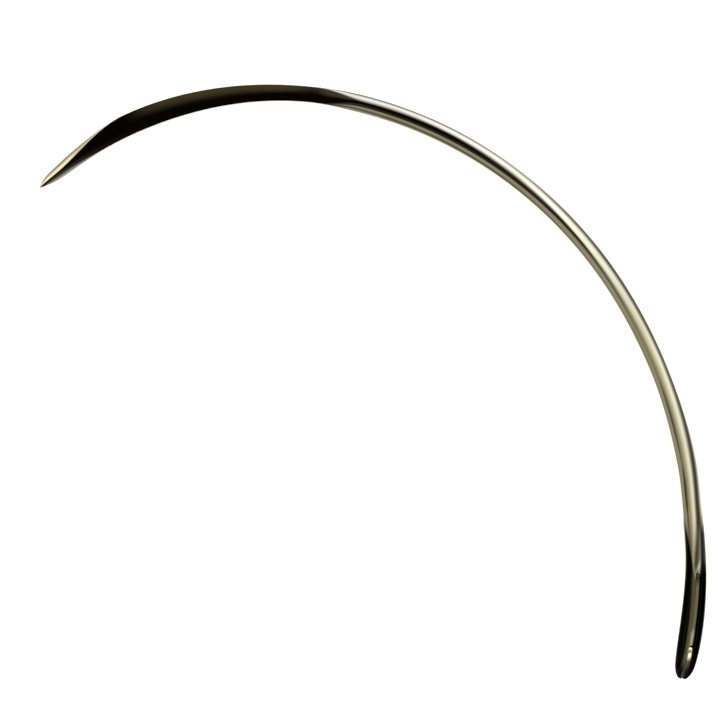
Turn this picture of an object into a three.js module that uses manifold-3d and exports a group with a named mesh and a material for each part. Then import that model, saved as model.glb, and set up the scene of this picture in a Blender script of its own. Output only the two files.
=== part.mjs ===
// A curved needle for upholstery and leather work. One length of hard steel wire is forged to a
// three-square blade at the point, left round along the shank, and flattened and pierced with a thread
// eye at the other end. The wire is then bent to a bow that lies in one plane.
//
// Sizes are in millimetres and degrees. +X runs along the chord from the point to the eye, +Y towards the
// top of the bow and +Z up out of its plane. The needle lies on z = 0, with the blade's flat upwards.

import * as THREE from 'three';
import { mergeVertices } from 'three/addons/utils/BufferGeometryUtils.js';
import Module from 'manifold-3d';

// Lengths along the wire, from the point to the end of the head
const bladeLength = 33;
const shankLength = 53;
const eyeLength = 15.7;

// Bends of the bow, tightest at the blade
const bladeBendRadius = 33.2;
const shankBendRadius = 40.3;
const shankBendLength = 30.6;
const neckBendRadius = 47.6;

// Round shank, which swells to the neck below the eye
const shankDiameter = 1.66;
const neckDiameter = 1.88;
const neckLength = 5;
const neckSwellLength = 9;

// Three-square blade: a flat in front and an edge at the back, run out into the round shank
const bladeWidth = 2.03;
const waistWidth = 1.5;
const waistFrom = 11;
const waistAt = 28;
const bladeDepth = 1.7;
const flatHeight = 0.5;
const flatRunOut = 6;
const bladeRunOut = 20;
const edgeRadius = 0.05;

// Point, which lies towards the inside of the bow
const pointOffset = 0.35;
const pointTaperLength = 2;
const outerTaperLength = 10;
const innerTaperLength = 4.4;
const backTaperLength = 12;
const taperFullness = 3;

// Bevels ground on the front edges beside the point
const outerBevelFrom = 2;
const outerBevelTo = 10.5;
const outerBevelAngle = 40;
const innerBevelStart = 0.46;
const innerBevelTo = 7.2;
const innerBevelAngle = 50;

// Flattened head, turned about the wire so that the eye faces up and outwards
const eyeTurn = 40;
const eyeWidth = 2.76;
const eyeThickness = 1.42;
const flattenLength = 5;
const legSquareness = 2.5;
const headRoundLength = 4.8;
const headBluntness = 2.3;
const tipRoundLength = 1.5;
const tipBluntness = 2;
const endFlat = 0.03;

// Thread slot, and the gutter on each face that leads the thread over the end of the head
const slotWidth = 0.75;
const slotLength = 7.26;
const slotToEnd = 2.8;
const gutterRadius = 1.1;
const gutterDepth = 0.36;
const gutterRunOut = 1.6;
const notchDepth = 0.2;

// Fineness of the facets
const pointsPerCorner = 4;
const ringStep = 1.6;
const fineRingStep = 0.5;
const gutterSides = 24;
const slotEndSteps = 6;
const cutOverrun = 1;
const cutClearance = 0.07;

const needleLength = bladeLength + shankLength + eyeLength;
const eyeStart = bladeLength + shankLength;
const slotEnd = needleLength - slotToEnd;
const slotStart = slotEnd - slotLength;
const bends = [
  { radius: bladeBendRadius, length: bladeLength },
  { radius: shankBendRadius, length: shankBendLength },
  { radius: neckBendRadius, length: Infinity },
];

const wasm = await Module();
wasm.setup();
const { lerp, smoothstep, degToRad } = THREE.MathUtils;

// Place and heading on the wire's axis at a distance from the point, along a run of tangent arcs
function axisAt(distance) {
  const place = new THREE.Vector2();
  let heading = 0;
  let left = distance;
  for (const { radius, length } of bends) {
    const run = Math.min(left, length);
    const turned = heading - run / radius;
    place.x += radius * (Math.sin(heading) - Math.sin(turned));
    place.y += radius * (Math.cos(turned) - Math.cos(heading));
    heading = turned;
    left -= run;
  }
  return { place, heading };
}

// Point in space beside the axis: outwards is away from the centre of the bow, up is out of its plane
function beside(distance, outwards, up) {
  const { place, heading } = axisAt(distance);
  const x = place.x - outwards * Math.sin(heading);
  const y = place.y + outwards * Math.cos(heading);
  return new THREE.Vector3(x, y, up);
}

// Distances from one place to another, in equal steps no longer than the given one
function stations(from, to, step) {
  const count = Math.ceil((to - from) / step);
  return Array.from({ length: count + 1 }, (_, i) => lerp(from, to, i / count));
}

// Closed skin through rings of points across the wire, with flat ends
function loft(distances, sectionAt) {
  const rings = distances.map((distance) =>
    sectionAt(distance).map((point) => beside(distance, point.x, point.y)),
  );
  const count = rings[0].length;
  const last = (rings.length - 1) * count;
  const index = [];
  for (let start = 0; start < last; start += count) {
    for (let side = 0; side < count; side++) {
      const a = start + side;
      const b = start + ((side + 1) % count);
      index.push(a, b, b + count, a, b + count, a + count);
    }
  }
  for (let side = 1; side < count - 1; side++) {
    index.push(0, side + 1, side, last, last + side, last + side + 1);
  }
  return new THREE.BufferGeometry().setFromPoints(rings.flat()).setIndex(index);
}

function solidOf(geometry) {
  const bare = geometry.clone();
  bare.deleteAttribute('normal');
  bare.deleteAttribute('uv');
  const merged = mergeVertices(bare);
  const triVerts = new Uint32Array(merged.index.array);
  const vertProperties = merged.attributes.position.array;
  return new wasm.Manifold(new wasm.Mesh({ numProp: 3, vertProperties, triVerts }));
}

function cut(geometry, cutters) {
  const left = cutters.reduce((solid, cutter) => solid.subtract(solidOf(cutter)), solidOf(geometry));
  const mesh = left.getMesh();
  const result = new THREE.BufferGeometry();
  result.setAttribute('position', new THREE.BufferAttribute(mesh.vertProperties, 3));
  return result.setIndex(new THREE.BufferAttribute(mesh.triVerts, 1));
}

// Directions of a section's points, seen along the wire, by the corners of the blade that they turn
// round: the outer edge, the flat's outer and inner sides, the inner edge and twice the back edge
const outerEdgeFrom = -30;
const cornerCount = 6;
const sectionStep = 360 / (cornerCount * pointsPerCorner);
const sectionAngles = Array.from({ length: cornerCount * pointsPerCorner }, (_, i) =>
  degToRad(outerEdgeFrom + sectionStep * (i + 0.5)),
);
const faceCosine = Math.cos(degToRad(sectionStep / 2));

// Growth of a tapered point, steep at first and level at its full size
function ogive(distance, length) {
  return 1 - (1 - Math.min(distance / length, 1)) ** taperFullness;
}

// Rounded end, from its last ring to its full size
function roundedEnd(distance, length, bluntness) {
  const left = 1 - Math.min((distance + endFlat) / (length + endFlat), 1);
  return (1 - left ** bluntness) ** (1 / bluntness);
}

// Half of the blade's width: full near the point, narrow at the waist and the wire's at the shank
function bladeHalfWidth(distance) {
  const waist = lerp(waistWidth, shankDiameter, smoothstep(distance, waistAt, bladeLength));
  return lerp(bladeWidth, waist, smoothstep(distance, waistFrom, waistAt)) / 2;
}

// Places across the wire of the outer edge, of the flat's sides and of the inner edge. Each bevel lies
// between an edge and the side of the flat next to it, which meet where the bevel ends.
function edgeLines(distance, side) {
  const straight = side * Math.min(distance / outerTaperLength, 1);
  const outer = lerp(-pointOffset, straight, ogive(distance, pointTaperLength));
  const inner = lerp(-pointOffset, -side, ogive(distance, innerTaperLength));
  const outerGround = lerp(-pointOffset, side, smoothstep(distance, outerBevelFrom, outerBevelTo));
  const innerGround = lerp(-innerBevelStart, -side, Math.min(distance / innerBevelTo, 1));
  return { outer, inner, flatOuter: Math.min(outerGround, outer), flatInner: Math.max(innerGround, inner) };
}

// Triangle with rounded corners and bevelled front edges, which grows out of the round shank and shrinks
// to the point
function bladeSection(distance) {
  const radius = shankDiameter / 2;
  const flatGrown = 1 - smoothstep(distance, bladeLength - flatRunOut, bladeLength);
  const bladeGrown = 1 - smoothstep(distance, bladeLength - bladeRunOut, bladeLength);
  const round = lerp(radius, edgeRadius, flatGrown);
  const backRound = lerp(radius, edgeRadius, bladeGrown);
  const front = lerp(radius * faceCosine, flatHeight, flatGrown) - round * faceCosine;
  const back = lerp(radius, bladeDepth - flatHeight, bladeGrown) - backRound;
  const deep = ogive(distance, backTaperLength);
  const backHeight = lerp(front, -back, deep);
  const { outer, flatOuter, flatInner, inner } = edgeLines(distance, bladeHalfWidth(distance) - round);
  const outerHeight = front - (outer - flatOuter) * Math.tan(degToRad(outerBevelAngle));
  const innerHeight = front - (flatInner - inner) * Math.tan(degToRad(innerBevelAngle));
  const backEdge = { x: lerp(-pointOffset, 0, deep), y: backHeight, round: backRound };
  const corners = [
    { x: outer, y: Math.max(outerHeight, backHeight), round },
    { x: flatOuter, y: front, round },
    { x: flatInner, y: front, round },
    { x: inner, y: Math.max(innerHeight, backHeight), round },
    backEdge,
    backEdge,
  ];
  return sectionAngles.map((angle, i) => {
    const corner = corners[Math.floor(i / pointsPerCorner)];
    const offset = new THREE.Vector2(Math.cos(angle), Math.sin(angle)).multiplyScalar(corner.round);
    return offset.add(corner);
  });
}

// Round section, which swells towards the eye
function shankSection(distance) {
  const swellEnd = eyeStart - neckLength;
  const swelled = smoothstep(distance, swellEnd - neckSwellLength, swellEnd);
  const radius = lerp(shankDiameter, neckDiameter, swelled) / 2;
  return sectionAngles.map((angle) =>
    new THREE.Vector2(radius * Math.cos(angle), radius * Math.sin(angle)),
  );
}

// Flat oval with full sides, wider and thinner than the neck and rounded off at the end
function eyeSection(distance) {
  const toEnd = needleLength - distance;
  const widened = smoothstep(distance, eyeStart, needleLength - headRoundLength);
  const flattened = smoothstep(distance, eyeStart, eyeStart + flattenLength);
  const wide = lerp(neckDiameter, eyeWidth, widened) * roundedEnd(toEnd, headRoundLength, headBluntness);
  const thick = lerp(neckDiameter, eyeThickness, flattened) * roundedEnd(toEnd, tipRoundLength, tipBluntness);
  const power = lerp(2, legSquareness, flattened);
  return sectionAngles.map((angle) => {
    const turned = angle + degToRad(eyeTurn);
    const across = Math.abs(Math.cos(turned) / (wide / 2)) ** power;
    const through = Math.abs(Math.sin(turned) / (thick / 2)) ** power;
    const radius = (across + through) ** (-1 / power);
    return new THREE.Vector2(radius * Math.cos(angle), radius * Math.sin(angle));
  });
}

function sectionAt(distance) {
  if (distance <= bladeLength) {
    return bladeSection(distance);
  }
  return distance <= eyeStart ? shankSection(distance) : eyeSection(distance);
}

// Turns a point given across and through the flattened head to one beside the wire's axis
function acrossHead(across, through) {
  return new THREE.Vector2(across, through).rotateAround(new THREE.Vector2(), degToRad(-eyeTurn));
}

// Block that pierces the slot, with half-round ends
function slotBlock() {
  const radius = slotWidth / 2;
  const insets = Array.from({ length: slotEndSteps }, (_, i) => {
    const angle = degToRad((90 * (i + 0.5)) / slotEndSteps);
    return radius * (1 - Math.cos(angle));
  });
  const nearEnd = insets.map((inset) => slotStart + inset);
  const middle = stations(slotStart + radius, slotEnd - radius, ringStep);
  const farEnd = insets.map((inset) => slotEnd - inset).reverse();
  return loft([...nearEnd, ...middle, ...farEnd], (distance) => {
    const beyond = Math.max(slotStart + radius - distance, distance - slotEnd + radius, 0);
    const half = Math.sqrt(radius ** 2 - beyond ** 2);
    const corners = [[half, -eyeWidth], [half, eyeWidth], [-half, eyeWidth], [-half, -eyeWidth]];
    return corners.map(([across, through]) => acrossHead(across, through));
  });
}

// Rod that grooves one face: it dips in below the slot, runs level past it and sinks through at the end
function gutterRod(face) {
  const floor = eyeThickness / 2 - gutterDepth;
  const runIn = stations(slotStart - gutterRunOut, slotStart, fineRingStep).slice(0, -1);
  const runOut = stations(slotEnd, needleLength + cutOverrun, fineRingStep).slice(1);
  const slope = floor / (slotToEnd - notchDepth);
  return loft([...runIn, slotStart, slotEnd, ...runOut], (distance) => {
    const risen = Math.max(slotStart - distance, 0) / gutterRunOut;
    const sunk = Math.max(distance - slotEnd, 0) * slope;
    const height = floor + (gutterDepth + cutClearance) * risen - sunk + gutterRadius;
    return Array.from({ length: gutterSides }, (_, i) => {
      const angle = (2 * Math.PI * i) / gutterSides;
      const across = gutterRadius * Math.cos(angle);
      const through = face * height + gutterRadius * Math.sin(angle);
      return acrossHead(across, through);
    });
  });
}

function bladeShape() {
  const ground = stations(0, outerBevelTo, fineRingStep);
  const rest = stations(outerBevelTo, bladeLength, ringStep).slice(1);
  return loft([...ground, ...rest], sectionAt);
}

function shankShape() {
  return loft(stations(bladeLength, eyeStart, ringStep), sectionAt);
}

function eyeShape() {
  const neck = stations(eyeStart, needleLength - headRoundLength, ringStep);
  const head = stations(needleLength - headRoundLength, needleLength, fineRingStep).slice(1);
  return cut(loft([...neck, ...head], sectionAt), [slotBlock(), gutterRod(1), gutterRod(-1)]);
}

function steel(color, roughness) {
  return new THREE.MeshStandardMaterial({ color, roughness, metalness: 1 });
}

function piece(name, geometry, material) {
  const mesh = new THREE.Mesh(geometry, material);
  mesh.name = name;
  return mesh;
}

const needle = new THREE.Group();
needle.add(piece('blade', bladeShape(), steel('#8d8674', 0.3)));
needle.add(piece('shank', shankShape(), steel('#b9b29a', 0.18)));
needle.add(piece('eye', eyeShape(), steel('#8f8a6c', 0.25)));

// Chord along X, and the middle of the needle's base at the origin
const chord = axisAt(needleLength).place;
needle.rotation.z = -chord.angle();
const box = new THREE.Box3().setFromObject(needle, true);
const middle = box.getCenter(new THREE.Vector3());
needle.position.set(-middle.x, -middle.y, -box.min.z);

export default needle;
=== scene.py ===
"""Looks of a curved hand needle: forged, pierced, bent and ground from one wire, on a plain pale floor.

The needle is shaped as its maker shapes it. The wire is first forged straight, with x outwards from
the bow, y up out of its plane and z along the wire. Then the eye is pierced, the wire is bent to its
bow and the bevels beside the point are ground.
"""

import math
from collections import namedtuple

import bmesh
import bpy
from bpy.props import FloatProperty, FloatVectorProperty, IntProperty, PointerProperty
from bpy.types import Operator, Panel, PropertyGroup
from mathutils import Matrix, Vector


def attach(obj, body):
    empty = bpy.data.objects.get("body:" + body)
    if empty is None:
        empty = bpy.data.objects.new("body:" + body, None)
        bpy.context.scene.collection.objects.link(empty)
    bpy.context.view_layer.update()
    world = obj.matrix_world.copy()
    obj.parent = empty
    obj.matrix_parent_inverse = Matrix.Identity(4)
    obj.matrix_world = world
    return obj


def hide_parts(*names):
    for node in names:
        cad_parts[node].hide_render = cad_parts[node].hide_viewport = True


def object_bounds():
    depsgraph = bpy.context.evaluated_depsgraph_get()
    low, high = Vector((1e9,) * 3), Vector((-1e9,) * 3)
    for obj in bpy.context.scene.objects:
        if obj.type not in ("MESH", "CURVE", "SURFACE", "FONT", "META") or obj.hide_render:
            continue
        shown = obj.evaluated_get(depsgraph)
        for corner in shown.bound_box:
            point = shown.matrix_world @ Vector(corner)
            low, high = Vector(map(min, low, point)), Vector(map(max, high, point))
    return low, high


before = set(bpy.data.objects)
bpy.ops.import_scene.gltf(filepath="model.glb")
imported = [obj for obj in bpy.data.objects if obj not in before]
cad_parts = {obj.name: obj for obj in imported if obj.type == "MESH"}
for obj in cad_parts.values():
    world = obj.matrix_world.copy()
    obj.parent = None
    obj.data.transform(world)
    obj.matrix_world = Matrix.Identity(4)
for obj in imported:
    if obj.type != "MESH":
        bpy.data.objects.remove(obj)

bl_info = {
    "name": "Curved needle",
    "version": (1, 0, 0),
    "blender": (4, 5, 0),
    "location": "View3D > Sidebar > Needle",
    "description": "Models a curved hand needle and sets the stage for its picture",
    "category": "Add Mesh",
}

CAD_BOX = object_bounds()
MM = 0.001
UP = Vector((0, 0, 1))
FULL_TURN = 360
# Allowance for rounding errors
TINY = 1e-6
# Share of the camera's distance within which it sees nothing
NEAR_SHARE = 0.01
# Place of the bevels' finish among the needle's materials
BEVEL_FINISH = 1


def length(name, millimetres, description):
    """A size that a user would change, given in millimetres and kept in metres."""
    return FloatProperty(
        name=name,
        description=description,
        default=millimetres * MM,
        min=0,
        precision=5,
        unit="LENGTH",
    )


def angle(name, degrees, description):
    return FloatProperty(name=name, description=description, default=math.radians(degrees), subtype="ANGLE")


def factor(name, value, description):
    return FloatProperty(name=name, description=description, default=value, subtype="FACTOR")


def colour(name, value, description):
    return FloatVectorProperty(
        name=name, description=description, default=value, size=3, min=0, soft_max=1, subtype="COLOR"
    )


class NeedleWire(PropertyGroup):
    """Lengths, bends and diameters of the wire."""

    blade_length: length("Blade", 33, "Wire from the point to the round shank")
    shank_length: length("Shank", 53, "Round wire between the blade and the head")
    eye_length: length("Head", 15.7, "Wire that is flattened for the eye")
    blade_bend: length("Blade bend", 33.2, "Radius of the bow along the blade")
    shank_bend: length("Shank bend", 40.3, "Radius of the bow along the first part of the shank")
    shank_bend_length: length("Shank bend length", 30.6, "Wire that has the shank's bend")
    neck_bend: length("Neck bend", 47.6, "Radius of the bow from there to the end")
    shank_diameter: length("Shank diameter", 1.66, "Diameter of the drawn wire")
    neck_diameter: length("Neck diameter", 1.88, "Diameter below the eye")
    neck_length: length("Neck", 5, "Round wire of full size below the eye")
    neck_swell: length("Neck swell", 9, "Wire over which the shank swells to the neck")
    neck_sag: length("Neck sag", 0.12, "Distance of the neck's middle inwards from the bow")
    ring_points: IntProperty(name="Ring points", description="Points round the wire", default=72, min=24)


class NeedleBlade(PropertyGroup):
    """Three-square blade and its ground point."""

    width: length("Width", 2.03, "Width of the flat from edge to edge")
    depth: length("Depth", 1.7, "Depth from the flat to the back edge")
    flat_height: length("Flat height", 0.5, "Height of the flat over the wire's axis")
    flat_crown: length("Flat crown", 0.03, "Rise of the flat in its middle")
    flat_run_out: length("Flat run-out", 4.5, "Wire over which the flat fades into the shank")
    run_out: length("Run-out", 20, "Wire over which the back edge fades into the shank")
    waist_width: length("Waist", 1.5, "Width of the narrow place before the shank")
    waist_from: length("Waist from", 11, "Wire from the point to where the blade starts to narrow")
    waist_at: length("Waist at", 28, "Wire from the point to the narrow place")
    edge_radius: length("Edge radius", 0.05, "Rounding of the edges")
    point_radius: length("Point radius", 0.02, "Rounding of the point")
    point_offset: length("Point offset", 0.35, "Distance of the point inwards from the axis")
    point_taper: length("Point taper", 2, "Length of the outer edge's curve to the point")
    outer_taper: length("Outer taper", 10, "Length of the straight run of the outer edge")
    inner_taper: length("Inner taper", 4.4, "Length of the inner edge's curve to the point")
    back_taper: length("Back taper", 12, "Length of the back edge's curve to the point")
    outer_bevel_from: length("Outer bevel from", 2, "Wire from the point to the outer bevel's widest place")
    outer_bevel_to: length("Outer bevel to", 10.5, "Wire from the point to the outer bevel's end")
    outer_slope: angle("Outer slope", 40, "Slope of the outer bevel")
    inner_start: length("Inner start", 0.46, "Offset of the inner bevel's line at the point")
    inner_bevel_to: length("Inner bevel to", 7.2, "Wire from the point to the inner bevel's end")
    inner_slope: angle("Inner slope", 50, "Slope of the inner bevel")


class NeedleEye(PropertyGroup):
    """Flattened head with its slot, gutters and notch."""

    turn: angle("Turn", 40, "Turn of the head about the wire, from flat in the bow's plane")
    width: length("Width", 2.76, "Widest place of the head")
    thickness: length("Thickness", 1.42, "Thickness of the head between its faces")
    flatten_length: length("Flatten length", 5, "Wire over which the neck is flattened")
    squareness: factor("Squareness", 2.5, "Power of the oval section: two is an ellipse")
    round_length: length("Round length", 4.8, "Wire over which the head's sides round off")
    bluntness: factor("Bluntness", 2.3, "Power of the head's round end")
    tip_length: length("Tip length", 1.5, "Wire over which the head's faces round off")
    end_flat: length("End flat", 0.03, "Length missing from the round end")
    slot_width: length("Slot width", 0.75, "Width of the thread slot")
    slot_length: length("Slot length", 7.26, "Length of the thread slot")
    slot_to_end: length("Slot to end", 2.8, "Wire between the slot and the end")
    rim: length("Rim", 0.05, "Rounding of the slot's rims")
    gutter_radius: length("Gutter radius", 1.1, "Radius of the gutter's hollow")
    gutter_depth: length("Gutter depth", 0.36, "Depth of the gutters beside the slot")
    gutter_run: length("Gutter run-out", 1.6, "Wire over which a gutter runs out on the neck")
    gutter_web: length("Gutter web", 0.12, "Half of the steel left between the gutters at the end")
    gutter_blend: length("Gutter blend", 0.12, "Rounding of the gutters' edges")
    notch: length("Notch", 0.2, "Depth of the notch between the two lobes of the end")
    notch_width: length("Notch width", 0.3, "Half width of the notch")


class NeedleSteel(PropertyGroup):
    """Colours and polish of the steel."""

    bright: colour("Bright", (0.64, 0.62, 0.57), "Drawn and polished shank")
    straw: colour("Straw", (0.60, 0.54, 0.40), "Faint temper colour in patches")
    ground: colour("Ground", (0.66, 0.63, 0.55), "Freshly ground bevels")
    # Dark head colour, also painted as shade along the blade's inner edge
    scale: colour("Scale", (0.006, 0.006, 0.008), "Dark scale left on the head")
    # Painted shade: dark brown at both ends of the slot, past its far end and on the faces beside it
    slot_shade: colour("Shaded", (0.08, 0.07, 0.045), "Brown tint of the steel about the slot")
    # Painted reflection: brown on the faces of the head beside the slot, made non-metal so that the lamp
    # lights it
    brown_reflection: colour("Reflection", (0.035, 0.03, 0.012), "Brown rust on the faces of the head beside the slot")
    worn: colour("Worn", (0.35, 0.345, 0.24), "Slot worn by thread")
    # Painted highlight: a bright metal colour on the far end of the slot's wall
    slot_highlight: colour("Highlight", (0.88, 0.87, 0.70), "Far end of the slot, where the thread pulls")
    # Painted shade: a darker metal colour on parts of the bevels
    bevel_shade: colour("Shade", (0.23, 0.215, 0.19), "Sides of the bevels that the stone left dull")
    shank_polish: factor("Shank roughness", 0.06, "Roughness of the shank")
    blade_polish: factor("Blade roughness", 0.07, "Roughness of the ground blade")
    bevel_polish: factor("Bevel roughness", 0.36, "Roughness of the bevels")
    neck_rough: factor("Neck", 0.22, "Roughness that the neck has more than the shank")
    patch_rough: factor("Patches", 0.04, "Change of roughness from patch to patch")
    line_rough: factor("Lines", 0.03, "Change of roughness across the drawn lines")
    scratch_rough: factor("Scratches", 0.2, "Change of roughness across the scratches")
    line_depth: length("Line depth", 0.0004, "Depth of the drawn lines")
    scratch_depth: length("Scratch depth", 0.002, "Depth of the scratches and pits on the bevels")
    # Mirroring of the brown non-metal strip of painted reflection
    painted_reflection_sheen: factor("Rust sheen", 0.1, "Mirroring of the rust")


class NeedleStage(PropertyGroup):
    """Floor, light and camera."""

    view_turn: angle("View turn", 37.48, "Turn of the picture against the chord")
    view_width: length("View width", 68.63, "Width of the picture at the needle")
    view_across: length("View across", 8.53, "Picture's middle, leftwards of the needle's middle")
    view_down: length("View down", 4.76, "Picture's middle, below the needle's middle")
    lens: FloatProperty(name="Lens", description="Focal length", default=100, unit="CAMERA")
    floor_size: length("Floor", 3000, "Width of the floor")
    floor_colour: colour("Floor colour", (0.9, 0.9, 0.895), "Plain pale floor")
    floor_shade: factor("Floor shade", 0.985, "Brightness of the floor's darker grain")
    room_colour: colour("Room", (0.95, 0.95, 0.95), "Plain pale surroundings")
    tent_radius: length("Tent", 55, "Radius of the light tent, which only the steel mirrors")
    dome_strength: FloatProperty(name="Dome", description="Strength of the soft light overhead", default=7)


def blended(low, high, share):
    return low + (high - low) * share


def eased(value, low, high):
    """Share of the way from low to high, with soft ends."""
    share = min(max((value - low) / (high - low), 0), 1)
    return share * share * (3 - 2 * share)


def lesser(first, second, blend):
    """The lesser of two heights, with a rounded change from one to the other."""
    share = min(max(0.5 + 0.5 * (second - first) / blend, 0), 1)
    return blended(second, first, share) - blend * share * (1 - share)


def spread(start, end, step):
    """Places from start up to end, in equal steps no longer than the given one, without the last."""
    count = math.ceil((end - start) / step - TINY)
    return [blended(start, end, i / count) for i in range(count)]


class Wire:
    """The wire's sections, straight, and its bow."""

    taper_fullness = 3
    # Directions round the wire, in degrees, at which the corners of the blade's section end
    first_direction = -30
    outer_end = 30
    flat_outer_end = 90
    flat_inner_end = 150
    inner_end = 210
    back_end = 330
    # Degrees over which the points beside a flat and beside a bevel spread
    face_spread = 16
    bevel_spread = 9
    # Power of a round section
    round_power = 2
    # Steps between rings, and the number of them on the round end
    fine_step = 0.16 * MM
    medium_step = 0.3 * MM
    coarse_step = 0.6 * MM
    end_rings = 16
    # Cuts through the slot's wall, and the power by which its rims turn into the faces
    wall_cuts = 7
    rim_power = 4

    def __init__(self, sizes, blade, eye):
        self.sizes = sizes
        self.blade = blade
        self.eye = eye
        self.eye_start = sizes.blade_length + sizes.shank_length
        self.end = self.eye_start + sizes.eye_length
        self.slot_end = self.end - eye.slot_to_end
        self.slot_start = self.slot_end - eye.slot_length
        self.bends = (
            (sizes.blade_bend, sizes.blade_length),
            (sizes.shank_bend, sizes.shank_bend_length),
            (sizes.neck_bend, math.inf),
        )

    def bent(self, point):
        """Place in the bow of a point on the straight wire."""
        x = y = heading = 0
        left = point.z
        for radius, run_length in self.bends:
            run = min(left, run_length)
            turned = heading - run / radius
            x += radius * (math.sin(heading) - math.sin(turned))
            y += radius * (math.cos(turned) - math.cos(heading))
            heading = turned
            left -= run
        return Vector((x - point.x * math.sin(heading), y + point.x * math.cos(heading), point.y))

    def tapered(self, distance, taper):
        """Growth of the point, steep at first and level at its full size."""
        return 1 - (1 - min(distance / taper, 1)) ** self.taper_fullness

    def half_width(self, distance):
        """Half of the blade's width, which narrows to the waist and grows to the wire of the shank."""
        blade = self.blade
        shank = self.sizes.shank_diameter
        waist = blended(blade.waist_width, shank, eased(distance, blade.waist_at, self.sizes.blade_length))
        return blended(blade.width, waist, eased(distance, blade.waist_from, blade.waist_at)) / 2

    def edge_lines(self, distance, side):
        """Places across of the outer edge, the flat's outer and inner sides, and the inner edge."""
        blade = self.blade
        point = -blade.point_offset
        straight = side * min(distance / blade.outer_taper, 1)
        outer = blended(point, straight, self.tapered(distance, blade.point_taper))
        inner = blended(point, -side, self.tapered(distance, blade.inner_taper))
        ground = eased(distance, blade.outer_bevel_from, blade.outer_bevel_to)
        flat_outer = min(blended(point, side, ground), outer)
        flat_inner = blended(-blade.inner_start, -side, min(distance / blade.inner_bevel_to, 1))
        return outer, flat_outer, max(flat_inner, inner), inner

    def flat_share(self, distance):
        """How far the flat has come out of the round wire."""
        end = self.sizes.blade_length
        return 1 - eased(distance, end - self.blade.flat_run_out, end)

    def blade_corners(self, distance):
        """Direction at which each corner of the blade's section ends, with its centre and radius."""
        blade = self.blade
        blade_end = self.sizes.blade_length
        round_radius = self.sizes.shank_diameter / 2
        flat = self.flat_share(distance)
        full = 1 - eased(distance, blade_end - blade.run_out, blade_end)
        edge = blended(blade.point_radius, blade.edge_radius, self.tapered(distance, blade.point_taper))
        radius = blended(round_radius, edge, flat)
        back_radius = blended(round_radius, edge, full)
        side = self.half_width(distance) - radius
        outer, flat_outer, flat_inner, inner = self.edge_lines(distance, side)
        front = blended(round_radius, blade.flat_height, flat) - radius
        back = blended(round_radius, blade.depth - blade.flat_height, full) - back_radius
        deep = self.tapered(distance, blade.back_taper)
        back_height = blended(front, -back, deep)
        outer_height = front - (outer - flat_outer) * math.tan(blade.outer_slope)
        inner_height = front - (flat_inner - inner) * math.tan(blade.inner_slope)
        middle = blended(-blade.point_offset, 0, deep)
        return (
            (self.outer_end, Vector((outer, max(outer_height, back_height))), radius),
            (self.flat_outer_end, Vector((flat_outer, front)), radius),
            (self.flat_inner_end, Vector((flat_inner, front)), radius),
            (self.inner_end, Vector((inner, max(inner_height, back_height))), radius),
            (self.back_end, Vector((middle, back_height)), back_radius),
        )

    def blade_point(self, distance, direction):
        """Point of the section: corners are arcs, and points beside a face spread over it."""
        corners = self.blade_corners(distance)
        first = self.first_direction
        turned = (math.degrees(direction) - first) % FULL_TURN + first
        index = next(i for i, corner in enumerate(corners) if turned < corner[0])
        end, centre, radius = corners[index]
        start = corners[index - 1][0] if index else first
        after = corners[(index + 1) % len(corners)]
        before = corners[index - 1]
        share_after = 0.5 - (end - turned) / (2 * self.spread_at(end))
        share_before = 0.5 - (turned - start) / (2 * self.spread_at(start))
        shares = (share_after, after), (share_before, before)
        share, other = max(shares, key=lambda pair: pair[0])
        share = eased(share, 0, 1)
        arm = Vector((math.cos(direction), math.sin(direction)))
        point = centre.lerp(other[1], share) + blended(radius, other[2], share) * arm
        if point.y > 0:
            point.y += self.crown(corners, distance, point.x)
        return point

    def spread_at(self, end):
        """Directions over which a face's points spread: a flat has more of them than a bevel."""
        return self.bevel_spread if end in (self.outer_end, self.flat_inner_end) else self.face_spread

    def crown(self, corners, distance, across):
        """Rise of the flat between its sides."""
        outer = corners[1][1].x
        inner = corners[2][1].x
        half = max((outer - inner) / 2, self.blade.edge_radius)
        share = min(abs(across - (outer + inner) / 2) / half, 1)
        grown = self.tapered(distance, self.blade.outer_taper)
        return self.blade.flat_crown * (1 - share * share) * self.flat_share(distance) * grown

    def shank_point(self, distance, direction):
        swell_end = self.eye_start - self.sizes.neck_length
        swelled = eased(distance, swell_end - self.sizes.neck_swell, swell_end)
        radius = blended(self.sizes.shank_diameter, self.sizes.neck_diameter, swelled) / 2
        return radius * Vector((math.cos(direction), math.sin(direction)))

    def rounded_end(self, distance, run, bluntness):
        flat = self.eye.end_flat
        left = 1 - min((self.end - distance + flat) / (run + flat), 1)
        return (1 - left**bluntness) ** (1 / bluntness)

    def head_oval(self, distance):
        """Half width, half thickness and power of the flattened section."""
        eye = self.eye
        neck = self.sizes.neck_diameter / 2
        widened = eased(distance, self.eye_start, self.end - eye.round_length)
        flattened = eased(distance, self.eye_start, self.eye_start + eye.flatten_length)
        half_width = blended(neck, eye.width / 2, widened)
        half_width *= self.rounded_end(distance, eye.round_length, eye.bluntness)
        half_thickness = blended(neck, eye.thickness / 2, flattened)
        half_thickness *= self.rounded_end(distance, eye.tip_length, self.round_power)
        return half_width, half_thickness, blended(self.round_power, eye.squareness, flattened)

    def face_height(self, across, distance):
        """Height of the head's face over its middle plane, with the gutter hollowed out."""
        half_width, half_thickness, power = self.head_oval(distance)
        within = max(1 - abs(across / half_width) ** power, 0)
        return self.guttered(half_thickness * within ** (1 / power), across, distance)

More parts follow.
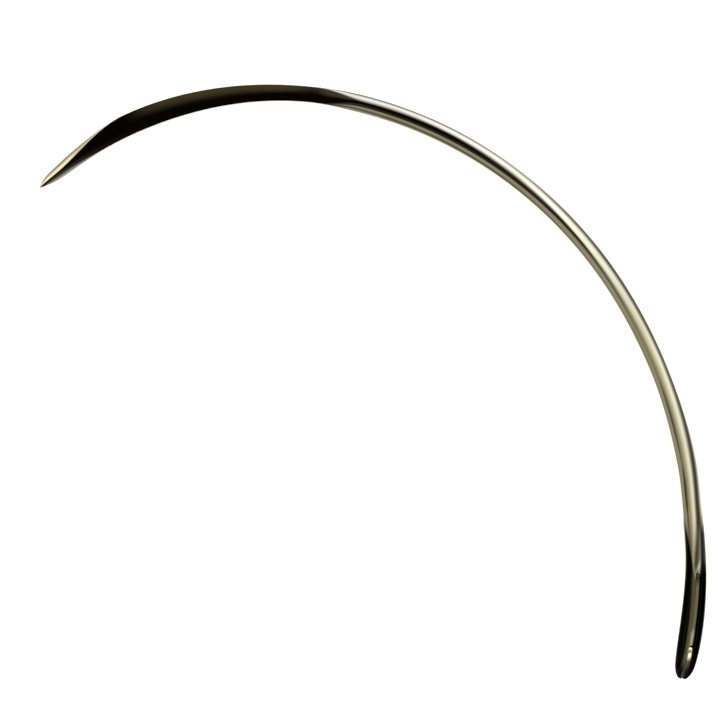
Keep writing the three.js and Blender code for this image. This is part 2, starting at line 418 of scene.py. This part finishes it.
    def guttered(self, height, across, distance):
        eye = self.eye
        if abs(across) >= eye.gutter_radius:
            return height
        floor = eye.thickness / 2 - eye.gutter_depth
        risen = max(self.slot_start - distance, 0) / eye.gutter_run * (eye.gutter_depth + eye.gutter_blend)
        sunk = max(distance - self.slot_end, 0) / eye.slot_to_end * (floor - eye.gutter_web)
        hollow = eye.gutter_radius - math.sqrt(eye.gutter_radius**2 - across**2)
        return lesser(height, floor + risen - sunk + hollow, eye.gutter_blend)

    def notched(self, across, distance):
        """Distance along the wire, drawn back between the lobes of the end."""
        eye = self.eye
        reach = eased(distance, self.end - eye.tip_length, self.end)
        return distance - eye.notch * reach * math.exp(-((across / eye.notch_width) ** 2))

    def on_head(self, across, through, distance):
        """Point on the straight wire from one given across and through the turned head."""
        cosine = math.cos(self.eye.turn)
        sine = math.sin(self.eye.turn)
        return Vector((across * cosine + through * sine, through * cosine - across * sine, distance))

    def from_head(self, point):
        """Across and through the turned head, of a point on the straight wire."""
        cosine = math.cos(self.eye.turn)
        sine = math.sin(self.eye.turn)
        return point.x * cosine - point.y * sine, point.x * sine + point.y * cosine

    def head_point(self, distance, direction):
        half_width, half_thickness, power = self.head_oval(distance)
        turned = direction + self.eye.turn
        wide = abs(math.cos(turned) / half_width) ** power
        thick = abs(math.sin(turned) / half_thickness) ** power
        radius = (wide + thick) ** (-1 / power)
        across = radius * math.cos(turned)
        through = radius * math.sin(turned)
        height = self.guttered(abs(through), across, distance)
        return self.on_head(across, math.copysign(height, through), self.notched(across, distance))

    def point(self, distance, direction):
        """Point of the straight wire's skin, in a direction across it."""
        if distance > self.eye_start:
            return self.head_point(distance, direction) + self.sag(distance)
        if distance > self.sizes.blade_length:
            return self.shank_point(distance, direction).to_3d() + distance * UP + self.sag(distance)
        return self.blade_point(distance, direction).to_3d() + distance * UP

    def sag(self, distance):
        """Shift of the neck, which starts where the wire has swelled and ends at the slot."""
        start = self.eye_start - self.sizes.neck_length
        begun = eased(distance, start, self.eye_start)
        ended = eased(distance, self.eye_start, self.slot_start)
        return Vector((-self.sizes.neck_sag * begun * (1 - ended), 0, 0))

    def stations(self):
        """Distances of the rings along the wire, closest where the section changes most."""
        hole_start = self.slot_start - self.eye.rim
        hole_end = self.slot_end + self.eye.rim
        round_start = self.end - self.eye.tip_length
        places = spread(0, self.blade.outer_taper, self.medium_step)
        places += spread(self.blade.outer_taper, self.eye_start, self.coarse_step)
        places += spread(self.eye_start, hole_start, self.fine_step)
        places += spread(hole_start, hole_end, self.fine_step)
        places += spread(hole_end, round_start, self.fine_step)
        for i in range(self.end_rings + 1):
            left = 1 - i / self.end_rings
            places.append(blended(round_start, self.end, 1 - left**2))
        return places


def forge(bm, wire):
    """Draws a ring of points along the wire, from section to section, and closes both ends."""
    count = wire.sizes.ring_points
    step = math.tau / count
    layer = bm.verts.layers.float.new("direction")
    ring = bmesh.ops.create_circle(bm, segments=count, radius=wire.blade.edge_radius)["verts"]
    for i, vert in enumerate(ring):
        vert[layer] = math.radians(wire.first_direction) + (i + 0.5) * step
    edges = list({edge for vert in ring for edge in vert.link_edges})
    ends = list(edges)
    distances = wire.stations()
    for number, distance in enumerate(distances):
        if number:
            grown = bmesh.ops.extrude_edge_only(bm, edges=edges)["geom"]
            ring = [item for item in grown if isinstance(item, bmesh.types.BMVert)]
            edges = [
                item
                for item in grown
                if isinstance(item, bmesh.types.BMEdge) and item.verts[0] in ring and item.verts[1] in ring
            ]
        for vert in ring:
            vert.co = wire.point(distance, vert[layer])
    bmesh.ops.holes_fill(bm, edges=ends + edges, sides=0)


def slot_outline(wire, point, radius):
    """Nearest point of the slot's outline, of a given half width and with round ends."""
    across, through = wire.from_head(point)
    half = wire.eye.slot_width / 2
    centre = min(max(point.z, wire.slot_start + half), wire.slot_end - half)
    away = Vector((across, point.z - centre)).normalized() * radius
    return away.x, through, centre + away.y


def pierce(bm, wire):
    """Opens the slot through both faces of the head and joins its rims by rounded walls."""
    eye = wire.eye
    half = eye.slot_width / 2
    rim_radius = half + eye.rim
    layer = bm.verts.layers.float["direction"]
    low = wire.slot_start - eye.rim - TINY
    high = wire.slot_end + eye.rim + TINY
    step = math.tau / wire.sizes.ring_points
    # The hole ends midway between two columns of points, on each side of the head's axis
    columns = round(math.atan2(rim_radius, eye.thickness / 2) / step - 0.5)
    reach = (columns + 1) * step
    through_axis = math.pi / 2 - eye.turn

    def in_slot(face):
        for vert in face.verts:
            off = abs((vert[layer] - through_axis + math.pi / 2) % math.pi - math.pi / 2)
            if off > reach or not low <= vert.co.z <= high:
                return False
        return True

    bmesh.ops.delete(bm, geom=[face for face in bm.faces if in_slot(face)], context="FACES")
    rims = [edge for edge in bm.edges if edge.is_boundary]
    for vert in {vert for edge in rims for vert in edge.verts}:
        across, through, distance = slot_outline(wire, vert.co, rim_radius)
        height = math.copysign(wire.face_height(across, distance), through)
        vert.co = wire.on_head(across, height, distance)
    walls = bmesh.ops.bridge_loops(bm, edges=rims)
    rails = [edge for edge in walls["edges"] if edge not in rims]
    cut = bmesh.ops.subdivide_edges(bm, edges=rails, cuts=wire.wall_cuts, use_grid_fill=True)
    for vert in {item for item in cut["geom_inner"] if isinstance(item, bmesh.types.BMVert)}:
        across, through, distance = slot_outline(wire, vert.co, half)
        share = min(abs(through) / wire.face_height(across, distance), 1)
        wall = half + eye.rim * share**wire.rim_power
        across, through, distance = slot_outline(wire, vert.co, wall)
        vert.co = wire.on_head(across, through, distance)


def bend(bm, wire):
    """Bends the straight wire to its bow, and keeps each point's straight place for the finish."""
    layer = bm.verts.layers.float_vector.new("on_wire")
    for vert in bm.verts:
        vert[layer] = vert.co
        vert.co = wire.bent(vert.co)


def mark_bevels(bm, wire):
    """Gives the two bevels beside the point their own coarser finish."""
    blade = wire.blade
    layer = bm.verts.layers.float["direction"]
    place = bm.verts.layers.float_vector["on_wire"]
    bevels = (wire.outer_end, blade.outer_bevel_to), (wire.flat_inner_end, blade.inner_bevel_to)
    for middle, reach in bevels:
        for face in bm.faces:
            far = max(vert[place].z for vert in face.verts)
            off = max(abs(math.degrees(vert[layer]) - middle) for vert in face.verts)
            if far < reach and off < wire.bevel_spread:
                face.material_index = BEVEL_FINISH


def lay_in_frame(bm, wire):
    """Turns the bow's chord along X and sets the needle in the middle of the frame, on the floor."""
    chord = wire.bent(Vector((0, 0, wire.end)))
    turn = Matrix.Rotation(-math.atan2(chord.y, chord.x), 3, "Z")
    bmesh.ops.rotate(bm, verts=bm.verts, cent=Vector(), matrix=turn)
    low = Vector(min(vert.co[i] for vert in bm.verts) for i in range(3))
    high = Vector(max(vert.co[i] for vert in bm.verts) for i in range(3))
    target = (CAD_BOX[0] + CAD_BOX[1]) / 2
    move = target - (low + high) / 2
    move.z = CAD_BOX[0].z - low.z
    bmesh.ops.translate(bm, verts=bm.verts, vec=move)


class Value:
    """A socket whose sums and products add Math nodes."""

    def __init__(self, nodes, socket):
        self.nodes = nodes
        self.socket = socket

    def math(self, operation, first, second):
        return self.nodes.add("ShaderNodeMath", {"operation": operation}, {0: first, 1: second})

    def __add__(self, other):
        return self.math("ADD", self, other)

    __radd__ = __add__

    def __sub__(self, other):
        return self.math("SUBTRACT", self, other)

    def __rsub__(self, other):
        return self.math("SUBTRACT", other, self)

    def __mul__(self, other):
        return self.math("MULTIPLY", self, other)

    __rmul__ = __mul__

    def __abs__(self):
        return self.math("ABSOLUTE", self, 0)

    def rise(self, low, high):
        """Soft step from 0 at low to 1 at high."""
        settings = {"interpolation_type": "SMOOTHSTEP"}
        inputs = {"Value": self, "From Min": low, "From Max": high}
        return self.nodes.add("ShaderNodeMapRange", settings, inputs)


class Nodes:
    """Adds nodes to the tree of a material or of the world."""

    def __init__(self, owner):
        owner.use_nodes = True
        self.tree = owner.node_tree
        self.tree.nodes.clear()

    def add(self, kind, settings=None, inputs=None, output=0):
        """Adds a node, sets it up, fills or links its sockets and returns one of its outputs."""
        node = self.tree.nodes.new(kind)
        for name, value in (settings or {}).items():
            setattr(node, name, value)
        for name, value in (inputs or {}).items():
            if isinstance(value, Value):
                self.tree.links.new(value.socket, node.inputs[name])
            else:
                node.inputs[name].default_value = value
        return Value(self, node.outputs[output]) if node.outputs else node

    def mix(self, share, first, second):
        """Colour between two others."""
        inputs = {"Factor": share, 6: opaque(first), 7: opaque(second)}
        return self.add("ShaderNodeMix", {"data_type": "RGBA"}, inputs, output=2)

    def cloudy(self, place, grain):
        """Cloudy pattern, stretched as the grain of a finish is."""
        stretched = {0: place, 1: grain.waves}
        vector = self.add("ShaderNodeVectorMath", {"operation": "MULTIPLY"}, stretched)
        inputs = {"Vector": vector, "Scale": 1.0, "Detail": grain.detail}
        return self.add("ShaderNodeTexNoise", None, inputs)


# Grain of a finish: waves to a metre outwards, up and along the wire, and finer waves within them
Grain = namedtuple("Grain", "waves detail")
DRAWN_LINES = Grain((9000, 9000, 60), 3)
TEMPER_PATCHES = Grain((700, 700, 160), 3)
SCRATCHES = Grain((1500, 1500, 9000), 4)
PITS = Grain((6000, 6000, 2600), 2)
FLOOR_GRAIN = Grain((900, 900, 900), 2)


class Marks:
    """Where each mark on the steel starts and where it is full."""

    # Along the wire from the start of the head
    handled_neck = (0.5 * MM, 4 * MM)
    rough_neck = (0, 2 * MM)
    outer_scale = (-1 * MM, 2 * MM)
    # Along the wire from the start of the slot
    head = (-1 * MM, 0.6 * MM)
    tongue = (1.6 * MM, 3.2 * MM)
    # Painted shade at the slot's near end, fading out along the slot
    unshaded = (0.2 * MM, 1.4 * MM)
    # Along the wire from the end of the slot
    # Painted highlight on the far end of the slot's wall
    slot_highlight = (-2.3 * MM, -1.5 * MM)
    # Painted shade past the slot's far end
    shaded_end = (0.3 * MM, 1 * MM)
    # Wire past the slot, and short of the end, between which the wear fades
    worn_fade = 0.8 * MM
    # Along the wire from the point
    # Painted shade on the bevels away from the point
    shade_from_point = (3.6 * MM, 5.4 * MM)
    # Outwards from the middle of the wire
    outer_side = (0.24 * MM, 0.44 * MM)
    worn_inside = (-0.58 * MM, -0.42 * MM)
    worn_outside = (0.34 * MM, 0.44 * MM)
    # Painted shade on the faces beside the slot
    shaded_face = (-0.3 * MM, 0.1 * MM)
    # Painted reflection on the faces beside the slot
    painted_reflection_side = (-0.22 * MM, -0.12 * MM)
    # Across the head and through it, from its middle
    worn_across = (1.15 * MM, 1.25 * MM)
    upper_face = (-0.02 * MM, 0.02 * MM)
    # Round the wire, in radians
    # Painted shade along the blade's inner edge
    shaded_edge_start = (math.radians(98), math.radians(110))
    shaded_edge_end = (math.radians(205), math.radians(215))
    # Painted shade on the bevels, along the outer edge and on the inner bevel beside the flat
    outer_bevel = (math.radians(28), math.radians(32))
    flat = (math.radians(89), math.radians(91))
    inner_bevel = (math.radians(147), math.radians(152.5))
    # Heights of a grain, and their mean
    straw_patches = (0.45, 0.75)
    straw_pits = (0.5, 0.75)
    mean = 0.5
    # Run of the tongue's sides along the wire, for the distance that they close in
    tongue_run = 7.4
    # Share of the bevels' colour that is painted shade away from the point
    shade_share = 0.65


def past(place, mark):
    """A mark's start and full place, counted from a place on the wire."""
    return [place + distance for distance in mark]


def opaque(value):
    """A colour with its alpha, as a colour socket takes it."""
    return value if isinstance(value, Value) else (*value, 1)


def on_wire(nodes):
    """Place on the straight wire, and its three parts: outwards, up and along."""
    place = nodes.add("ShaderNodeAttribute", {"attribute_name": "on_wire"}, None, output="Vector")
    parts = [nodes.add("ShaderNodeSeparateXYZ", None, {0: place}, output=i) for i in range(3)]
    return place, *parts


def round_wire(nodes):
    """Direction round the wire, in radians."""
    return nodes.add("ShaderNodeAttribute", {"attribute_name": "direction"}, None, output="Fac")


def finish_steel(nodes, steel, base, roughness, height, depth, bare=1.0):
    """Surface with a fine relief, of metal where it is bare."""
    relief = {"Strength": 1.0, "Distance": depth, "Height": height}
    inputs = {
        "Base Color": base,
        "Roughness": roughness,
        "Metallic": bare,
        "Specular IOR Level": steel.painted_reflection_sheen,
        "Normal": nodes.add("ShaderNodeBump", None, relief),
    }
    shader = nodes.add("ShaderNodeBsdfPrincipled", None, inputs)
    nodes.add("ShaderNodeOutputMaterial", None, {"Surface": shader})


def head_finish(nodes, steel, wire, outwards, up, along):
    """Colour of the head, which has scale all over but for its worn slot, with painted highlight, painted
    shade and painted reflection about the slot.
    """
    cosine = math.cos(wire.eye.turn)
    sine = math.sin(wire.eye.turn)
    across = abs(outwards * cosine - up * sine)
    through = outwards * sine + up * cosine
    # Outwards on the upper face, and inwards on the lower one, which is worn alike
    side = outwards * (through.rise(*Marks.upper_face) * 2 - 1)
    worn = side.rise(*Marks.worn_inside) * (1 - side.rise(*Marks.worn_outside))
    worn = worn * (1 - along.rise(wire.slot_end + Marks.worn_fade, wire.end - Marks.worn_fade))
    worn = worn * (1 - across.rise(*Marks.worn_across))
    half = wire.eye.slot_width / 2
    face = across.rise(half, half + wire.eye.rim)
    # Painted shade on the faces beside the slot
    shaded_face = face * (1 - side.rise(*Marks.shaded_face))
    # Painted reflection on the faces beside the slot
    painted_reflection = face * (1 - side.rise(*Marks.painted_reflection_side))
    # Painted highlight towards the far end of the slot's wall
    wear_and_painted_light = nodes.mix(along.rise(*past(wire.slot_end, Marks.slot_highlight)), steel.worn, steel.slot_highlight)
    # Painted shade on the faces beside the slot, past its far end and at its near end
    wear_and_painted_light = nodes.mix(shaded_face, wear_and_painted_light, steel.slot_shade)
    wear_and_painted_light = nodes.mix(along.rise(*past(wire.slot_end, Marks.shaded_end)), wear_and_painted_light, steel.slot_shade)
    wear_and_painted_light = nodes.mix(along.rise(*past(wire.slot_start, Marks.unshaded)), steel.slot_shade, wear_and_painted_light)
    # Painted reflection on the faces beside the slot: brown and non-metal, lit by the lamp
    wear_and_painted_light = nodes.mix(painted_reflection, wear_and_painted_light, steel.brown_reflection)
    return nodes.mix(worn, steel.scale, wear_and_painted_light), worn * painted_reflection


def drawn_steel(steel, wire):
    """Polished wire, ground along the blade, with dark scale on the head and a worn slot, painted shade
    along the blade's inner edge, and painted light about the slot.
    """
    material = bpy.data.materials.new("drawn_steel")
    nodes = Nodes(material)
    place, outwards, up, along = on_wire(nodes)
    lines = nodes.cloudy(place, DRAWN_LINES)
    patches = nodes.cloudy(place, TEMPER_PATCHES)
    blade_end = wire.sizes.blade_length
    blade = 1 - along.rise(blade_end - wire.blade.flat_run_out, blade_end)
    direction = round_wire(nodes)
    # Painted shade along the blade's inner edge, in the dark colour of the head
    inner_edge_shade = direction.rise(*Marks.shaded_edge_start) * (1 - direction.rise(*Marks.shaded_edge_end))
    tinted = nodes.mix(patches.rise(*Marks.straw_patches), steel.bright, steel.straw)
    handled = nodes.mix(along.rise(*past(wire.eye_start, Marks.handled_neck)), tinted, steel.worn)
    # The scale starts on the sides of the neck and leaves a tongue of bright steel in the middle
    beside = along + abs(outwards) * Marks.tongue_run
    tongue = beside.rise(*past(wire.slot_start, Marks.tongue))
    outer = outwards.rise(*Marks.outer_side) * along.rise(*past(wire.eye_start, Marks.outer_scale))
    base = nodes.mix(1 - (1 - tongue) * (1 - outer), handled, steel.scale)
    in_head = along.rise(*past(wire.slot_start, Marks.head))
    head, painted_reflection = head_finish(nodes, steel, wire, outwards, up, along)
    base = nodes.mix(in_head, base, head)
    # Painted shade along the blade's inner edge
    base = nodes.mix(inner_edge_shade * blade, base, steel.scale)
    roughness = steel.shank_polish + blade * (steel.blade_polish - steel.shank_polish)
    neck = along.rise(*past(wire.eye_start, Marks.rough_neck)) * (1 - in_head)
    roughness = roughness + neck * steel.neck_rough
    roughness = roughness + (patches - Marks.mean) * steel.patch_rough
    roughness = roughness + (lines - Marks.mean) * steel.line_rough
    # Where the reflection is painted beside the slot, the steel is not metal
    finish_steel(nodes, steel, base, roughness, lines, steel.line_depth, 1 - in_head * painted_reflection)
    return material


def ground_steel(steel):
    """Coarsely ground bevel, with scratches, small pits and painted shade."""
    material = bpy.data.materials.new("ground_steel")
    nodes = Nodes(material)
    place, *_, along = on_wire(nodes)
    scratches = nodes.cloudy(place, SCRATCHES)
    pits = nodes.cloudy(place, PITS)
    direction = round_wire(nodes)
    # Painted shade along the outer edge, on the inner bevel beside the flat, and away from the point
    inner = direction.rise(*Marks.inner_bevel)
    unshaded_bevel = direction.rise(*Marks.outer_bevel) * (1 - direction.rise(*Marks.flat) * (1 - inner))
    unshaded_bevel = unshaded_bevel * (1 - Marks.shade_share * along.rise(*Marks.shade_from_point))
    base = nodes.mix(pits.rise(*Marks.straw_pits), steel.ground, steel.straw)
    base = nodes.mix(unshaded_bevel, steel.bevel_shade, base)
    roughness = steel.bevel_polish + (scratches - Marks.mean) * steel.scratch_rough
    finish_steel(nodes, steel, base, roughness, scratches + pits, steel.scratch_depth)
    return material


def floor_material(stage):
    material = bpy.data.materials.new("pale_floor")
    nodes = Nodes(material)
    place = nodes.add("ShaderNodeTexCoord", None, None, output="Object")
    shade = [stage.floor_shade * part for part in stage.floor_colour]
    base = nodes.mix(nodes.cloudy(place, FLOOR_GRAIN), stage.floor_colour, shade)
    shader = nodes.add("ShaderNodeBsdfDiffuse", None, {"Color": base})
    nodes.add("ShaderNodeOutputMaterial", None, {"Surface": shader})
    return material


# Edge of a patch: a direction in the picture, in degrees, and how far towards it the patch
# starts and is full
Edge = namedtuple("Edge", "azimuth elevation start full")
TENT_SEGMENTS = 128


class Tent:
    """Inside of a light tent that the steel mirrors, with soft patches laid over one another."""

    def __init__(self, nodes, turn, cloth):
        self.nodes = nodes
        self.turn = turn
        place = nodes.add("ShaderNodeTexCoord", None, None, output="Object")
        self.place = nodes.add("ShaderNodeVectorMath", {"operation": "NORMALIZE"}, {0: place})
        self.shown = cloth

    def toward(self, azimuth, elevation):
        """How far a place on the tent lies towards a direction in the picture."""
        around = math.radians(azimuth) + self.turn
        rise = math.radians(elevation)
        axis = (math.cos(rise) * math.cos(around), math.cos(rise) * math.sin(around), math.sin(rise))
        inputs = {0: self.place, 1: axis}
        return self.nodes.add("ShaderNodeVectorMath", {"operation": "DOT_PRODUCT"}, inputs, output="Value")

    def lay(self, shade, *edges):
        """Lays a patch, which is full within all its edges."""
        cover = 1
        for edge in edges:
            cover = cover * self.toward(edge.azimuth, edge.elevation).rise(edge.start, edge.full)
        self.shown = self.nodes.mix(cover, self.shown, shade)


def tent_material(stage):
    """Warm cloth, with a lit wall on the right, a window beyond the bow and the dark camera."""
    material = bpy.data.materials.new("tent_cloth")
    nodes = Nodes(material)
    cloth = (0.42, 0.39, 0.26)
    tent = Tent(nodes, stage.view_turn, cloth)
    shaded_cloth = (0.17, 0.15, 0.10)
    tent.lay(shaded_cloth, Edge(300, -15, 0.25, 0.45))
    deep_shade = (0.12, 0.10, 0.07)
    tent.lay(deep_shade, Edge(300, -20, 0.35, 0.45))
    far_shade = (0.30, 0.31, 0.31)
    tent.lay(far_shade, Edge(75, -45, 0.70, 0.90))
    cream_wall = (0.85, 0.83, 0.56)
    tent.lay(cream_wall, Edge(-25, -5, -0.10, 0.35))
    foot_of_wall = (1.40, 1.40, 1.15)
    tent.lay(foot_of_wall, Edge(-30, -20, 0.00, 0.50))
    window = (1.65, 1.70, 1.65)
    tent.lay(window, Edge(120, 20, -0.05, 0.35), Edge(70, 40, 0.45, 0.95))
    dark_seam = (0.05, 0.05, 0.055)
    tent.lay(dark_seam, Edge(25, -10, 0.70, 1.05))
    dark_stand = (0.09, 0.065, 0.06)
    tent.lay(dark_stand, Edge(-45, -10, 0.45, 0.75), Edge(120, 40, -0.80, -0.40))
    camera_front = (0.003, 0.002, 0.002)
    camera_sides = Edge(155, 30, 0.15, 0.55), Edge(265, 30, -0.85, -0.05)
    camera_ends = Edge(140, 25, 0.32, 0.38), Edge(25, -50, -1.25, -0.80)
    tent.lay(camera_front, *camera_sides, *camera_ends)
    camera_edge = (0.03, 0.02, 0.015)
    tent.lay(camera_edge, Edge(130, 5, -0.01, 0.01), Edge(230, 75, 0.94, 0.98))
    camera_back = (0.075, 0.06, 0.03)
    tent.lay(camera_back, Edge(85, -30, -0.04, 0.08), Edge(130, 45, 0.97, 0.99))
    # The outer bevel mirrors the cloth behind the point, and the inner bevel the cloth before it
    lit_cloth = (1.50, 1.40, 1.00)
    tent.lay(lit_cloth, Edge(150, 0, 0.75, 0.90), Edge(0, -90, -0.45, -0.20))
    pale_cloth = (0.55, 0.54, 0.51)
    tent.lay(pale_cloth, Edge(280, -15, 0.80, 0.95))
    shader = nodes.add("ShaderNodeEmission", None, {"Color": tent.shown, "Strength": 1.0})
    nodes.add("ShaderNodeOutputMaterial", None, {"Surface": shader})
    material.cycles.emission_sampling = "NONE"
    return material


def pitch_tent(stage):
    """Puts the tent round the needle, where only the steel's reflections meet it."""
    bm = bmesh.new()
    sphere = {"u_segments": TENT_SEGMENTS, "v_segments": TENT_SEGMENTS // 2, "radius": stage.tent_radius}
    bmesh.ops.create_uvsphere(bm, **sphere)
    mesh = bpy.data.meshes.new("tent")
    bm.to_mesh(mesh)
    bm.free()
    mesh.materials.append(tent_material(stage))
    tent = link("tent", mesh)
    tent.visible_camera = False
    tent.visible_diffuse = False
    tent.visible_transmission = False
    tent.visible_shadow = False


def light_world(stage):
    """Plain pale surroundings, which light nothing."""
    world = bpy.data.worlds.new("studio")
    bpy.context.scene.world = world
    nodes = Nodes(world)
    light = nodes.add("ShaderNodeBackground", None, {"Color": opaque(stage.room_colour), "Strength": 1.0})
    nodes.add("ShaderNodeOutputWorld", None, {"Surface": light})
    world.cycles_visibility.diffuse = False


def link(name, data):
    item = bpy.data.objects.new(name, data)
    bpy.context.scene.collection.objects.link(item)
    return item


class NEEDLE_OT_needle(Operator):
    """Forge, pierce, bend and grind the needle, and give it its steel."""

    bl_idname = "needle.make_needle"
    bl_label = "Needle"

    def execute(self, context):
        scene = context.scene
        wire = Wire(scene.needle_wire, scene.needle_blade, scene.needle_eye)
        bm = bmesh.new()
        forge(bm, wire)
        pierce(bm, wire)
        bend(bm, wire)
        mark_bevels(bm, wire)
        lay_in_frame(bm, wire)
        bmesh.ops.recalc_face_normals(bm, faces=bm.faces)
        for face in bm.faces:
            face.smooth = True
        if any(not edge.is_manifold for edge in bm.edges):
            raise RuntimeError("the needle's skin isn't closed")
        mesh = bpy.data.meshes.new("needle")
        bm.to_mesh(mesh)
        bm.free()
        mesh.materials.append(drawn_steel(scene.needle_steel, wire))
        mesh.materials.append(ground_steel(scene.needle_steel))
        needle = link("needle", mesh)
        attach(needle, "root")
        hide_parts("blade", "shank", "eye")
        return {"FINISHED"}


class NEEDLE_OT_stage(Operator):
    """Lay the floor and set the light and the camera."""

    bl_idname = "needle.make_stage"
    bl_label = "Stage"

    def execute(self, context):
        scene = context.scene
        stage = scene.needle_stage
        scene.view_settings.view_transform = "Standard"
        bm = bmesh.new()
        bmesh.ops.create_grid(bm, x_segments=1, y_segments=1, size=stage.floor_size / 2)
        bmesh.ops.translate(bm, verts=bm.verts, vec=UP * CAD_BOX[0].z)
        mesh = bpy.data.meshes.new("floor")
        bm.to_mesh(mesh)
        bm.free()
        mesh.materials.append(floor_material(stage))
        floor = link("floor", mesh)
        floor.visible_glossy = False
        pitch_tent(stage)
        light_world(stage)
        dome = bpy.data.lights.new("dome", "SUN")
        dome.energy = stage.dome_strength
        dome.angle = math.pi
        lamp = link("dome", dome)
        lamp.visible_glossy = False
        camera = link("camera", bpy.data.cameras.new("camera"))
        camera.data.lens = stage.lens
        turn = Matrix.Rotation(stage.view_turn, 3, "Z")
        middle = (CAD_BOX[0] + CAD_BOX[1]) / 2
        distance = stage.view_width * stage.lens / camera.data.sensor_width
        camera.location = middle + turn @ Vector((-stage.view_across, -stage.view_down, distance))
        camera.rotation_euler.z = stage.view_turn
        camera.data.clip_start = distance * NEAR_SHARE
        scene.camera = camera
        return {"FINISHED"}


class NEEDLE_PT_sidebar(Panel):
    """Sizes and finish of the needle, with the buttons that make it."""

    bl_label = "Curved needle"
    bl_space_type = "VIEW_3D"
    bl_region_type = "UI"
    bl_category = "Needle"

    def draw(self, context):
        for operator in OPERATORS:
            self.layout.operator(operator.bl_idname)
        for name, group in GROUPS.items():
            box = self.layout.box()
            box.label(text=group.__doc__)
            for key in group.__annotations__:
                box.prop(getattr(context.scene, name), key)


GROUPS = {
    "needle_wire": NeedleWire,
    "needle_blade": NeedleBlade,
    "needle_eye": NeedleEye,
    "needle_steel": NeedleSteel,
    "needle_stage": NeedleStage,
}
OPERATORS = (NEEDLE_OT_needle, NEEDLE_OT_stage)


def register():
    for item in (*GROUPS.values(), *OPERATORS, NEEDLE_PT_sidebar):
        bpy.utils.register_class(item)
    for name, group in GROUPS.items():
        setattr(bpy.types.Scene, name, PointerProperty(type=group))


def unregister():
    for name in GROUPS:
        delattr(bpy.types.Scene, name)
    for item in reversed((*GROUPS.values(), *OPERATORS, NEEDLE_PT_sidebar)):
        bpy.utils.unregister_class(item)


def main():
    register()
    bpy.ops.needle.make_needle()
    bpy.ops.needle.make_stage()


if __name__ == "__main__":
    main()
